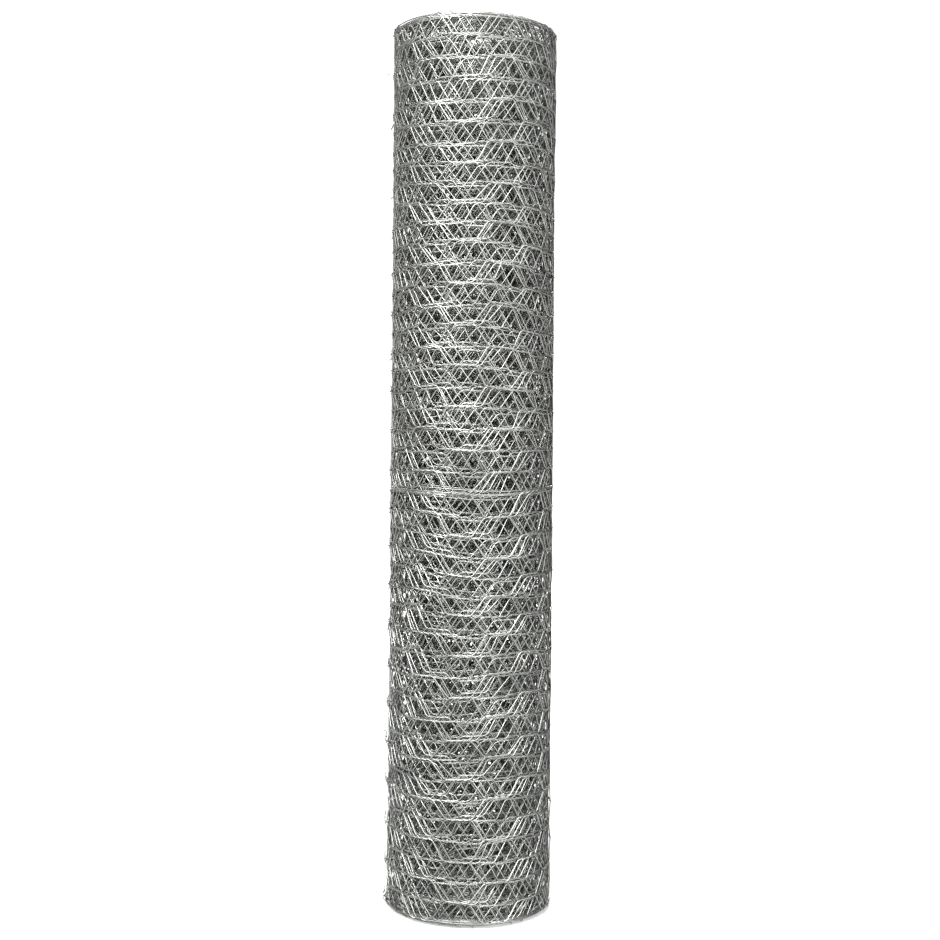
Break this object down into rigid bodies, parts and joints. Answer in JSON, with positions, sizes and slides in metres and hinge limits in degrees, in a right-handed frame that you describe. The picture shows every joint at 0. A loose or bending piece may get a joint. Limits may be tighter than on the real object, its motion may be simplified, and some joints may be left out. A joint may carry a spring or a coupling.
{
  "type": "roll of chicken wire",
  "caption": "Upright cylindrical roll of galvanised hexagonal wire netting, wound in close turns round an open bore and standing on one end.",
  "frame": {"origin": "centre of the end that the roll stands on", "axes": "+Z along the roll's axis, from the end it stands on to its top end; +X and +Y across the roll"},
  "size_m": [0.1129, 0.113, 0.61],
  "materials": {
    "galvanised_wire": "zinc-coated drawn steel wire, satin, bright with slight dulling"
  },
  "bodies": {
    "root": {"netting_roll": "galvanised_wire"}
  },
  "joints": []
}
